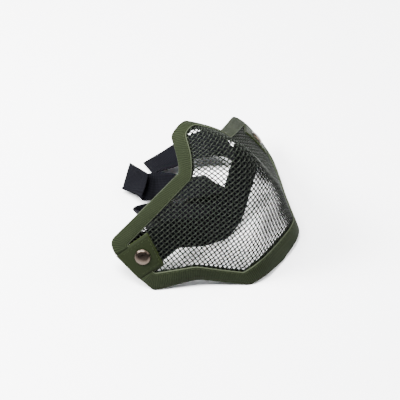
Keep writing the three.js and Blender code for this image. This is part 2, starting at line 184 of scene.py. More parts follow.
LEFT_ROUTE = (
    StrapRow(47.4, -14.6, 24.2, -0.19, 0.68, 0.71),
    StrapRow(50, 9, 25, 0.3, 0.76, 0.58),
    StrapRow(46, 22, 18, 0.5, 0.78, 0.36),
    StrapRow(36.6, 31.6, 12.2, 0.5, 0.84, 0.12),
    StrapRow(23.8, 39.6, 8.2, 0.44, 0.87, -0.18),
    StrapRow(9.4, 47.4, 6.2, 0.37, 0.84, -0.4),
)
# Across on the shell, lift off the seat and rise, where a strap lies under the rivet and then leaves
HEAD_SEAT = ((109, 0, 0), (103.5, 0, 0), (96, 0, 0), (89, 0.3, 0), (78, 4.4, 0))
END_SEAT = ((109, 0.1, 3.2), (103.5, 0.1, 3.2), (96, 0.6, 3.2), (91, 2.4, 2))
# Slant of a loose end's cut from selvage to selvage, and what it takes off the middle
RIGHT_CUT = (16.0, 2.5)
LEFT_CUT = (0.0, 0.0)

# Layers, counted from the middle of the mesh to either side; the straps lie on the inside
MESH_HALF = 0.6
TAPE_CLEARANCE = 0.5
CLOTH_THICK = 1.0
LAYER_FACE = MESH_HALF + TAPE_CLEARANCE + CLOTH_THICK
STRAP_THICK = 1.2
STRAP_WIDTH = 22.0
STRAP_CLEARANCE = 0.9
SEAT_GAP = 0.3
HEAD_STRAP_LAYER = LAYER_FACE + STRAP_CLEARANCE + STRAP_THICK / 2
END_STRAP_LAYER = HEAD_STRAP_LAYER + STRAP_THICK + SEAT_GAP
RIVET_ACROSS = 103.5
RIVET_DOWN = 58.5

# Half of the distance that a slope or an outward direction is taken over
SLOPE_STEP = 0.01
NORMAL_STEP = 0.4
# Least lengths that anything is divided by
LEAST_LENGTH = 1e-12
LEAST_GAP = 1e-4
# Keeps a place beside the centre line, where the net has no side
OFF_CENTRE = 1e-6


# Lines and surfaces


def unit(vectors: Array) -> Array:
    """Scales each row to length one."""
    return vectors / np.maximum(np.linalg.norm(vectors, axis=-1, keepdims=True), LEAST_LENGTH)


def run_length(points: Array) -> Array:
    """Length along a line up to each of its points."""
    return np.concatenate([[0], np.cumsum(np.linalg.norm(np.diff(points, axis=0), axis=1))])


def cubic(t: Array, start: Array, end: Array, leave: Array, arrive: Array) -> Array:
    """Cubic between two values with given slopes.

    Args:
        t: Share of the way.
        start: Value at the start.
        end: Value at the end.
        leave: Slope at the start, for the whole way.
        arrive: Slope at the end, for the whole way.

    Returns:
        Value at that share.
    """
    return (
        (2 * t**3 - 3 * t**2 + 1) * start
        + (t**3 - 2 * t**2 + t) * leave
        + (3 * t**2 - 2 * t**3) * end
        + (t**3 - t**2) * arrive
    )


def flowing_curve(rows: Array, steps: int) -> Array:
    """Smooth curve through points, slower where they lie close.

    Args:
        rows: Points.
        steps: Steps between two points.

    Returns:
        Points of the curve.
    """
    ends = np.vstack([2 * rows[0] - rows[1], rows, 2 * rows[-1] - rows[-2]])
    gap = np.sqrt(np.maximum(np.linalg.norm(np.diff(ends, axis=0), axis=1), LEAST_GAP))
    curve = []
    for i in range(len(rows) - 1):
        a, b, c, d = ends[i : i + 4]
        g0, g1, g2 = gap[i : i + 3]
        leave = ((b - a) / g0 - (c - a) / (g0 + g1) + (c - b) / g1) * g1
        arrive = ((c - b) / g1 - (d - b) / (g1 + g2) + (d - c) / g2) * g1
        curve.extend(cubic(k / steps, b, c, leave, arrive) for k in range(steps))
    curve.append(rows[-1])
    return np.array(curve)


@dataclass(frozen=True)
class ShellSurface:
    """Middle surface of the pressed mesh, in the part's frame."""

    nose_y: float = 10.2
    nose_z: float = 86.0
    lean: float = math.radians(47.55)
    shift_y: float = 14.205

    def section(self, down: Array) -> Array:
        """Section columns at some levels, as cubics through the table's rows.

        Args:
            down: Levels along the chord.

        Returns:
            Seven rows of column values, from front to blend.
        """
        table = np.array(
            [[r.front, r.flat, r.radius, r.side, r.side_length, r.wing, r.blend] for r in SECTIONS]
        )
        level = np.array([r.level for r in SECTIONS], float)
        low = np.maximum(np.arange(len(level)) - 1, 0)
        high = np.minimum(np.arange(len(level)) + 1, len(level) - 1)
        slope = (table[high] - table[low]) / (level[high] - level[low])[:, None]
        i = np.clip(np.searchsorted(level, down, side="right") - 1, 0, len(level) - 2)
        span = (level[i + 1] - level[i])[:, None]
        t = (down - level[i])[:, None] / span
        return cubic(t, table[i], table[i + 1], span * slope[i], span * slope[i + 1]).T

    def point(self, across: Array, down: Array) -> Array:
        """Places on the surface.

        Args:
            across: Distances along the sections from the centre line.
            down: Levels along the chord.

        Returns:
            Points in millimetres, one row each.
        """
        across = np.atleast_1d(np.asarray(across, float))
        down = np.atleast_1d(np.asarray(down, float))
        front, flat, radius, side, side_length, wing, blend = self.section(down)
        side, wing = np.radians(side), np.radians(wing)
        left = np.abs(across)
        x = np.minimum(left, flat)
        left = left - x
        turn = np.minimum(left, radius * side)
        x = x + radius * np.sin(turn / radius)
        forward = front - radius * (1 - np.cos(turn / radius))
        left = left - turn
        straight = np.minimum(left, side_length)
        x = x + straight * np.cos(side)
        forward = forward - straight * np.sin(side)
        left = left - straight
        bend = np.minimum(left, blend * (side - wing))
        angle = side - bend / blend
        x = x + blend * (np.sin(side) - np.sin(angle))
        forward = forward - blend * (np.cos(angle) - np.cos(side))
        left = left - bend
        x = x + left * np.cos(wing)
        forward = forward - left * np.sin(wing)
        y = self.nose_y + self.shift_y - down * math.sin(self.lean) - forward * math.cos(self.lean)
        z = self.nose_z - down * math.cos(self.lean) + forward * math.sin(self.lean)
        return np.stack([np.sign(across) * x, y, z], axis=-1)

    def slopes(self, across: Array, down: Array, step: float = SLOPE_STEP) -> tuple[Array, Array]:
        """Directions of the net on the surface.

        Args:
            across: Distances along the sections.
            down: Levels along the chord.
            step: Half the distance that the slopes are taken over.

        Returns:
            Change of place per millimetre across, and per millimetre down.
        """
        sideways = self.point(across + step, down) - self.point(across - step, down)
        downwards = self.point(across, down + step) - self.point(across, down - step)
        return sideways / (2 * step), downwards / (2 * step)

    def normal(self, across: Array, down: Array) -> Array:
        """Outward directions, one row for each place."""
        sideways, downwards = self.slopes(np.atleast_1d(across), np.atleast_1d(down), NORMAL_STEP)
        return unit(np.cross(downwards, sideways))

    def offset(self, across: Array, down: Array, lift: Array) -> Array:
        """Places off the surface: a positive lift is outside.

        Args:
            across: Distances along the sections.
            down: Levels along the chord.
            lift: Distances from the surface.

        Returns:
            Points in millimetres.
        """
        across, down, lift = np.broadcast_arrays(np.atleast_1d(across), down, lift)
        return self.point(across, down) + self.normal(across, down) * lift[:, None]

    def inset(self, edge: Array, towards: Array, distance: float) -> Array:
        """Line beside an edge.

        Args:
            edge: Across and down of the edge.
            towards: Across and down of the line that the inset goes towards.
            distance: How far it goes.

        Returns:
            Across and down pairs.
        """
        width = np.linalg.norm(self.point(*edge.T) - self.point(*towards.T), axis=1)
        return edge + (towards - edge) * (distance / width)[:, None]


SHELL = ShellSurface()


def rounded_path(corners: list[tuple[float, float, float]], runs: list[int]) -> Array:
    """Polyline with rounded corners on one half of an edge.

    Args:
        corners: Across, down and radius of each corner.
        runs: Steps from each corner to the next.

    Returns:
        Across and down pairs.
    """
    spots = [np.array(corner[:2], float) for corner in corners]
    arcs = []
    for i, spot in enumerate(spots):
        if i in (0, len(spots) - 1):
            arcs.append([spot])
            continue
        back, onward = unit(spots[i - 1] - spot), unit(spots[i + 1] - spot)
        half_angle = math.acos(float(np.clip(back @ onward, -1, 1))) / 2
        reach = corners[i][2] / math.tan(half_angle)
        start, end = spot + back * reach, spot + onward * reach
        steps = np.linspace(0, 1, CORNER_STEPS + 1)
        arcs.append([(1 - t) ** 2 * start + 2 * t * (1 - t) * spot + t**2 * end for t in steps])
    path: list[Array] = []
    for i, arc in enumerate(arcs):
        path.extend(arc)
        for k in range(1, runs[i]):
            path.append(arc[-1] + (arcs[i + 1][0] - arc[-1]) * k / runs[i])
    return np.array(path)


def edge_paths(rows: tuple[EdgeCorner, ...], from_centre: bool) -> tuple[Array, Array]:
    """Free edge and inner edge of a tape, from the right ear to the left.

    Args:
        rows: Corners of the left half.
        from_centre: Whether the half starts at the centre line.

    Returns:
        Across and down pairs of both edges, as many for each.
    """
    whole = []
    for corners in ([row.free for row in rows], [row.inner for row in rows]):
        half = rounded_path(corners, [row.runs for row in rows])
        outwards = half if from_centre else half[::-1]
        mirrored = outwards[1:][::-1] * np.array([-1.0, 1.0])
        whole.append(np.vstack([mirrored, outwards]))
    return whole[0], whole[1]


def ear_edge(down: Array) -> Array:
    """Free edge of the ear between the two tapes, across at some levels."""
    upper, lower = TOP_EDGE[-1].free, BOTTOM_EDGE[0].free
    return upper[0] + (lower[0] - upper[0]) * (down - upper[1]) / (lower[1] - upper[1])


class MeshMaker:
    """Turns rows of points into Blender meshes."""

    @staticmethod
    def piece(name: str, points: Array, faces: list, material: Material) -> Piece:
        """Makes a smooth-shaded object.

        Args:
            name: Name of the piece.
            points: Points in millimetres.
            faces: Lists of point numbers.
            material: Finish of the whole piece.

        Returns:
            The new object, linked to the scene.
        """
        mesh = bpy.data.meshes.new(name)
        mesh.from_pydata((points * MM).tolist(), [], faces)
        mesh.polygons.foreach_set("use_smooth", np.ones(len(mesh.polygons), bool))
        mesh.update()
        obj = bpy.data.objects.new(name, mesh)
        bpy.context.scene.collection.objects.link(obj)
        mesh.materials.append(material)
        return obj

    @staticmethod
    def ring_faces(rings: int, count: int, first: int = 0) -> list:
        """Faces between rings of points.

        Args:
            rings: Number of rings.
            count: Points in each ring.
            first: Number of the first point.

        Returns:
            Lists of four point numbers.
        """
        i, j = np.meshgrid(np.arange(rings - 1) * count, np.arange(count), indexing="ij")
        k = (j + 1) % count
        quads = np.stack([i + j, i + count + j, i + count + k, i + k], -1)
        return (quads.reshape(-1, 4) + first).tolist()

    @staticmethod
    def capped_faces(rings: int, count: int, first: int = 0) -> list:
        """Faces between rings of points, with the first and the last ring closed.

        Args:
            rings: Number of rings.
            count: Points in each ring.
            first: Number of the first point.

        Returns:
            Lists of point numbers.
        """
        faces = MeshMaker.ring_faces(rings, count, first)
        last = first + (rings - 1) * count
        return faces + [list(range(first, first + count)), list(range(last, last + count))[::-1]]

    @staticmethod
    def tube(centre: Array, normal: Array, radius: Array, turn: Array) -> Array:
        """Round rings along a line.

        Args:
            centre: Points of the line.
            normal: Outward direction at each point.
            radius: One radius, or one for each point.
            turn: Angles of a ring's points, from the side towards the outside.

        Returns:
            Points, ring by ring.
        """
        along = unit(np.gradient(centre, axis=0))
        side = unit(np.cross(along, normal))
        up = np.cross(side, along)
        around = np.cos(turn)[:, None] * side[:, None, :] + np.sin(turn)[:, None] * up[:, None, :]
        return (centre[:, None, :] + np.reshape(radius, (-1, 1, 1)) * around).reshape(-1, 3)

    @staticmethod
    def loft(name: str, points: Array, lie: Array, material: Material) -> Piece:
        """Makes a closed cloth piece over rings of points.

        Args:
            name: Name of the piece.
            points: Points of each ring.
            lie: Along, across and distance from the edge, for each point.
            material: Finish of the whole piece.

        Returns:
            The new object.
        """
        faces = MeshMaker.capped_faces(*points.shape[:2])
        obj = MeshMaker.piece(name, points.reshape(-1, 3), faces, material)
        MeshMaker.face_out(obj)
        MeshMaker.store(obj, "lie", lie.reshape(-1, 3))
        return obj

    @staticmethod
    def store(obj: Piece, name: str, values: Array) -> None:
        """Keeps a number or a triple for each point, for the finishes to read.

        Args:
            obj: Piece that gets the values.
            name: Name of the attribute.
            values: One row for each point.
        """
        triple = values.ndim == 2
        layer = obj.data.attributes.new(name, "FLOAT_VECTOR" if triple else "FLOAT", "POINT")
        layer.data.foreach_set("vector" if triple else "value", values.astype(np.float32).ravel())

    @staticmethod
    def face_out(obj: Piece) -> None:
        """Turns the faces of a closed piece outwards.

        Args:
            obj: Closed piece.
        """
        work = bmesh.new()
        work.from_mesh(obj.data)
        bmesh.ops.recalc_face_normals(work, faces=work.faces)
        work.to_mesh(obj.data)
        work.free()


# Finishes


class Shading:
    """Small helpers for building node trees."""

    # The mix node's factor, colours and mixed colour among its sockets
    MIX_INPUTS = (0, 6, 7)
    MIX_RESULT = 2

    def __init__(self, tree: bpy.types.NodeTree) -> None:
        """Keeps the tree that nodes are added to."""
        self.tree = tree

    def node(self, kind: str, **values: object) -> Node:
        """Adds a node.

        Args:
            kind: Blender's name of the node type.
            **values: Properties of the node.

        Returns:
            The new node.
        """
        made = self.tree.nodes.new(kind)
        for key, value in values.items():
            setattr(made, key, value)
        return made

    def feed(self, slot: Socket, value: object) -> None:
        """Links an input to a socket, or sets it to a number or a colour.

        Args:
            slot: Input of a node.
            value: Socket, number or colour.
        """
        if isinstance(value, Socket):
            self.tree.links.new(value, slot)
        else:
            slot.default_value = (*value, 1.0) if isinstance(value, tuple) else value

    def place(self, group: bpy.types.NodeTree, values: dict[str, float]) -> Node:
        """Adds a shared group with a material's own values.

        Args:
            group: Shared node group.
            values: Numbers of its inputs.

        Returns:
            The group's node.
        """
        made = self.node("ShaderNodeGroup", node_tree=group)
        for key, value in values.items():
            self.feed(made.inputs[key], value)
        return made

    def math(self, operation: str, *values: object) -> Socket:
        """Adds a calculation with up to three numbers or sockets.

        Args:
            operation: Blender's name of the operation.
            *values: Numbers or sockets.

        Returns:
            The result's socket.
        """
        made = self.node("ShaderNodeMath", operation=operation)
        for slot, value in zip(made.inputs, values):
            self.feed(slot, value)
        return made.outputs[0]

    def mix(self, amount: object, first: object, second: object) -> Socket:
        """Mixes two colours.

        Args:
            amount: Share of the second colour, a number or a socket.
            first: Colour or socket.
            second: Colour or socket.

        Returns:
            The mixed colour's socket.
        """
        made = self.node("ShaderNodeMix", data_type="RGBA", clamp_factor=True)
        for number, value in zip(self.MIX_INPUTS, (amount, first, second)):
            self.feed(made.inputs[number], value)
        return made.outputs[self.MIX_RESULT]

    def noise(self, vector: Socket, scale: object, detail: float) -> Socket:
        """Adds a noise.

        Args:
            vector: Where the noise is read.
            scale: Number or socket.
            detail: Octaves.

        Returns:
            The noise value's socket.
        """
        made = self.node("ShaderNodeTexNoise")
        for key, value in (("Vector", vector), ("Scale", scale), ("Detail", detail)):
            self.feed(made.inputs[key], value)
        return made.outputs[0]

    def fade(self, value: Socket, none: float, full: float) -> Socket:
        """Adds a soft step.

        Args:
            value: Socket that is read.
            none: Value where the step is 0.
            full: Value where the step is 1.

        Returns:
            The step's socket.
        """
        made = self.node("ShaderNodeMapRange", interpolation_type="SMOOTHSTEP")
        for key, level in (("Value", value), ("From Min", none), ("From Max", full)):
            self.feed(made.inputs[key], level)
        return made.outputs[0]

    def lie(self) -> tuple[Socket, ...]:
        """Reads a cloth's own lie.

        Returns:
            Sockets of the whole lie, and of its along, across and distance from the edge.
        """
        vector = self.node("ShaderNodeAttribute", attribute_name="lie").outputs["Vector"]
        parts = self.node("ShaderNodeSeparateXYZ")
        self.feed(parts.inputs[0], vector)
        return (vector, *parts.outputs)


class SharedEffects:
    """Node groups that several finishes use, each made once."""

    # How far ribs stray, and how densely; scale of the fuzz; share of the relief that shades
    STRAY = 0.7
    STRAY_SCALE = 0.35
    STRAY_DETAIL = 2.0
    FUZZ_SCALE = 2.6
    FUZZ_DETAIL = 4.0
    SHADE_SHARE = 0.95
    SLOW_DETAIL = 3.0
    FINE_DETAIL = 4.0

    def __init__(self) -> None:
        """Builds the groups."""
        self.cloth = self._cloth_ribs()
        self.tone = self._uneven_tone()

    @staticmethod
    def _start(name: str, inputs: dict[str, float], outputs: tuple[str, ...]) -> tuple:
        """Makes an empty group.

        Args:
            name: Name of the group.
            inputs: Names and first values of its number inputs.
            outputs: Names of its number outputs.

        Returns:
            The group, its helper, its input sockets and its output sockets.
        """
        group = bpy.data.node_groups.new(name, "ShaderNodeTree")
        for key, value in inputs.items():
            made = group.interface.new_socket(key, in_out="INPUT", socket_type="NodeSocketFloat")
            made.default_value = value
        for key in outputs:
            group.interface.new_socket(key, in_out="OUTPUT", socket_type="NodeSocketFloat")
        s = Shading(group)
        return group, s, s.node("NodeGroupInput").outputs, s.node("NodeGroupOutput").inputs

    def _cloth_ribs(self) -> bpy.types.NodeTree:
        """Ribs over the cloth, read from its own lie along and across.

        Returns:
            Group with the ribs' height and the shade between threads.
        """
        sizes = {"Rib pitch": 0.9, "Thread pitch": 0.5, "Thread share": 0.4, "Fuzz": 0.3}
        group, s, given, out = self._start("cloth_ribs", sizes, ("Height", "Shade"))
        lie, along, across, _ = s.lie()
        stray = s.math("MULTIPLY", s.noise(lie, self.STRAY_SCALE, self.STRAY_DETAIL), self.STRAY)

        def wave(place: Socket, pitch: Socket) -> Socket:
            """Sine over the cloth with one pitch."""
            return s.math("SINE", s.math("DIVIDE", s.math("MULTIPLY", place, FULL_TURN), pitch))

        rib = wave(s.math("ADD", along, stray), given["Rib pitch"])
        thread = s.math("MULTIPLY", wave(across, given["Thread pitch"]), given["Thread share"])
        fuzz = s.math("SUBTRACT", s.noise(lie, self.FUZZ_SCALE, self.FUZZ_DETAIL), 0.5)
        ridge = s.math("ADD", s.math("MULTIPLY_ADD", rib, 0.5, 0.5), s.math("MULTIPLY", thread, 0.5))
        height = s.math("ADD", ridge, s.math("MULTIPLY", fuzz, given["Fuzz"]))
        s.feed(out["Height"], height)
        s.feed(out["Shade"], s.math("MULTIPLY", height, self.SHADE_SHARE))
        return group

    def _uneven_tone(self) -> bpy.types.NodeTree:
        """Slow and fine unevenness over a surface.

        Returns:
            Group with a slow mask, a fine mask and their mean.
        """
        scales = {"Slow": 60.0, "Fine": 700.0}
        group, s, given, out = self._start("uneven_tone", scales, ("Slow", "Fine", "Both"))
        place = s.node("ShaderNodeTexCoord").outputs["Object"]
        slow = s.noise(place, given["Slow"], self.SLOW_DETAIL)
        fine = s.noise(place, given["Fine"], self.FINE_DETAIL)
        s.feed(out["Slow"], slow)
        s.feed(out["Fine"], fine)
        s.feed(out["Both"], s.math("MULTIPLY", s.math("ADD", slow, fine), 0.5))
        return group


@dataclass(frozen=True)
class Finish:
    """Even surface of two near colours; slow and fine are the scales of its unevenness."""

    name: str
    dark: Colour
    light: Colour
    roughness: float
    metallic: float = 0.0
    specular: float = 0.5
    slow: float = 6.0
    fine: float = 90.0
    relief: float = 0.0
    relief_strength: float = 0.0

    def build(self, effects: SharedEffects) -> Material:
        """Makes the material.

        Args:
            effects: Shared node groups.

        Returns:
            The finish's material.
        """
        material = bpy.data.materials.new(self.name)
        material.use_nodes = True
        s = Shading(material.node_tree)
        shader = material.node_tree.nodes["Principled BSDF"]
        shader.inputs["Roughness"].default_value = self.roughness
        shader.inputs["Metallic"].default_value = self.metallic
        shader.inputs["Specular IOR Level"].default_value = self.specular
        tone = s.place(effects.tone, {"Slow": self.slow, "Fine": self.fine})
        self.dress(s, shader, tone.outputs, effects)
        return material

    def dress(self, s: Shading, shader: Node, tone: bpy.types.NodeOutputs, effects: SharedEffects) -> None:
        """Gives the shader what changes over the surface.

        Args:
            s: Helper of the material.
            shader: Shader of the material.
            tone: Sockets of the unevenness.
            effects: Shared node groups, not used here.
        """
        s.feed(shader.inputs["Base Color"], s.mix(tone["Both"], self.dark, self.light))

    def raise_bump(self, s: Shading, shader: Node, height: Socket) -> None:
        """Gives the shader a relief.

        Args:
            s: Helper of the material.
            shader: Shader that gets the relief.
            height: Socket of the height.
        """
        bump = s.node("ShaderNodeBump")
        sizes = (("Distance", self.relief * MM), ("Strength", self.relief_strength), ("Height", height))
        for key, value in sizes:
            s.feed(bump.inputs[key], value)
        s.feed(shader.inputs["Normal"], bump.outputs[0])


@dataclass(frozen=True)
class ClothFinish(Finish):
    """Ribbed or woven cloth, with a paler edge and a painted highlight along the fold."""

    slow: float = 45.0
    fine: float = 900.0
    relief: float = 0.12
    relief_strength: float = 0.9
    patches: float = 0.9
    rib: float = field(kw_only=True)
    thread: float = 0.5
    thread_share: float = 0.4
    fuzz: float = 0.4
    edge: Colour | None = None
    edge_width: float = 0.9
    edge_core: float = 0.25
    edge_spots: float = 0.6
    fold_highlight: float = 0.0
    fold_width: float = 1.1
    fold_core: float = 0.2

    def dress(self, s: Shading, shader: Node, tone: bpy.types.NodeOutputs, effects: SharedEffects) -> None:
        """Gives the shader the cloth's ribs, its paler edge and the painted highlight along its fold.

        Args:
            s: Helper of the material.
            shader: Shader of the material.
            tone: Sockets of the unevenness.
            effects: Shared node groups.
        """
        sizes = {"Rib pitch": self.rib, "Thread pitch": self.thread}
        sizes |= {"Thread share": self.thread_share, "Fuzz": self.fuzz}
        ribs = s.place(effects.cloth, sizes).outputs
        shade = s.math("SUBTRACT", ribs["Shade"], 0.5)
        colour = s.mix(s.math("MULTIPLY_ADD", tone["Slow"], self.patches, shade), self.dark, self.light)
        if self.edge is not None:
            _, _, across, from_edge = s.lie()
            near = s.fade(from_edge, self.edge_width, self.edge_core * self.edge_width)
            spots = s.math("MULTIPLY_ADD", tone["Fine"], self.edge_spots, 1 - self.edge_spots)
            colour = s.mix(s.math("MULTIPLY", near, spots), colour, self.edge)
            # Painted highlight along the fold, in the edge colour and spotted by the fine tone.
            fold = s.fade(s.math("ABSOLUTE", across), self.fold_width, self.fold_core)
            lit_fold = s.math("MULTIPLY", fold, s.math("MULTIPLY", tone["Fine"], self.fold_highlight))
            colour = s.mix(lit_fold, colour, self.edge)
        s.feed(shader.inputs["Base Color"], colour)
        self.raise_bump(s, shader, ribs["Height"])


@dataclass(frozen=True)
class GlossFinish(Finish):
    """Hard surface whose gloss changes a little from place to place."""

    spread: float = 0.3
    dip: float = 0.15

    def vary_gloss(self, s: Shading, shader: Node, mask: Socket) -> None:
        """Makes the surface rougher where a mask is higher."""
        rough = s.math("MULTIPLY_ADD", mask, self.spread, self.roughness - self.dip)
        s.feed(shader.inputs["Roughness"], rough)


@dataclass(frozen=True)
class PaintFinish(GlossFinish):
    """Paint on wire, paler on the crests of the weave and on each wire's outer side: partly thinner paint,
    partly painted highlight.
    """

    slow: float = 70.0
    fine: float = 1500.0
    relief: float = 0.05
    relief_strength: float = 0.4
    spread: float = 0.25
    dip: float = 0.12
    crest_wear_and_highlight: Colour = field(kw_only=True)
    crest_sharpness: float = 2.4
    crest_spots: float = 0.5
    crest_least: float = 0.45

    def dress(self, s: Shading, shader: Node, tone: bpy.types.NodeOutputs, effects: SharedEffects) -> None:
        """Gives the shader the paint and its paler crests, which are partly worn paint and partly painted
        highlight.

        Args:
            s: Helper of the material.
            shader: Shader of the material.
            tone: Sockets of the unevenness.
            effects: Shared node groups, not used here.
        """
        colour = s.mix(tone["Both"], self.dark, self.light)
        # Paler crests and outer sides of the wires: partly worn paint, partly painted highlight.
        crest_wear_and_highlight = s.node("ShaderNodeAttribute", attribute_name="crest_wear_and_highlight").outputs["Fac"]
        sharp_crest = s.math("POWER", crest_wear_and_highlight, self.crest_sharpness)
        spots = s.math("MULTIPLY_ADD", tone["Fine"], self.crest_spots, self.crest_least)
        worn_and_lit = s.math("MULTIPLY", sharp_crest, spots)
        s.feed(shader.inputs["Base Color"], s.mix(worn_and_lit, colour, self.crest_wear_and_highlight))
        self.vary_gloss(s, shader, tone["Fine"])
        self.raise_bump(s, shader, tone["Fine"])


@dataclass(frozen=True)
class MetalFinish(GlossFinish):
    """Bare plated metal with small marks."""

    slow: float = 260.0
    fine: float = 2600.0
    relief: float = 0.02
    relief_strength: float = 0.3

    def dress(self, s: Shading, shader: Node, tone: bpy.types.NodeOutputs, effects: SharedEffects) -> None:
        """Gives the shader the metal's tone and marks.

        Args:
            s: Helper of the material.
            shader: Shader of the material.
            tone: Sockets of the unevenness.
            effects: Shared node groups, not used here.
        """
        s.feed(shader.inputs["Base Color"], s.mix(tone["Slow"], self.dark, self.light))
        self.vary_gloss(s, shader, tone["Both"])
        self.raise_bump(s, shader, tone["Fine"])


class Palette:
    """All finishes of the mask, built once."""

    def __init__(self) -> None:
        """Builds the materials."""
        effects = SharedEffects()
        # The wires' crest colour is partly worn paint and partly painted highlight.
        self.wire = PaintFinish(
            "wire_paint", (0.0008, 0.0013, 0.0008), (0.0026, 0.0036, 0.0024), 0.5, specular=0.05,
            crest_wear_and_highlight=(0.047, 0.056, 0.042),
        ).build(effects)
        # The tape has a painted highlight along its fold.
        self.tape = ClothFinish(
            "binding_tape", (0.0036, 0.0052, 0.002), (0.0118, 0.0153, 0.0071), 0.9, specular=0.06,
            rib=1.3, thread_share=0.15, edge=(0.04, 0.047, 0.03), fold_highlight=1.3,
        ).build(effects)
        self.tab = ClothFinish(
            "tab_cloth", (0.0019, 0.0035, 0.0002), (0.005, 0.0078, 0.0008), 0.7, specular=0.08,
            rib=0.55, thread=0.55, thread_share=0.9, relief=0.06, edge=(0.014, 0.02, 0.004), edge_width=0.7,
        ).build(effects)
        self.strap = ClothFinish(
            "strap_elastic", (0.0011, 0.0011, 0.0016), (0.004, 0.0041, 0.0055), 0.85, specular=0.02,
            rib=1.1, thread=1.3, thread_share=0.9, relief=0.15, edge=(0.0035, 0.0035, 0.0045), edge_width=0.8,
        ).build(effects)
        self.thread = ClothFinish(
            "sewing_thread", (0.007, 0.0105, 0.0035), (0.017, 0.022, 0.009), 0.8, specular=0.08,
            rib=0.4, thread=0.4, relief=0.05,
        ).build(effects)
        self.rivet = MetalFinish(
            "rivet_metal", (0.03, 0.022, 0.017), (0.085, 0.066, 0.053), 0.3, 1.0
        ).build(effects)
        self.floor = Finish("table_top", (0.88, 0.88, 0.89), (0.91, 0.91, 0.92), 0.55).build(effects)


# The woven shell


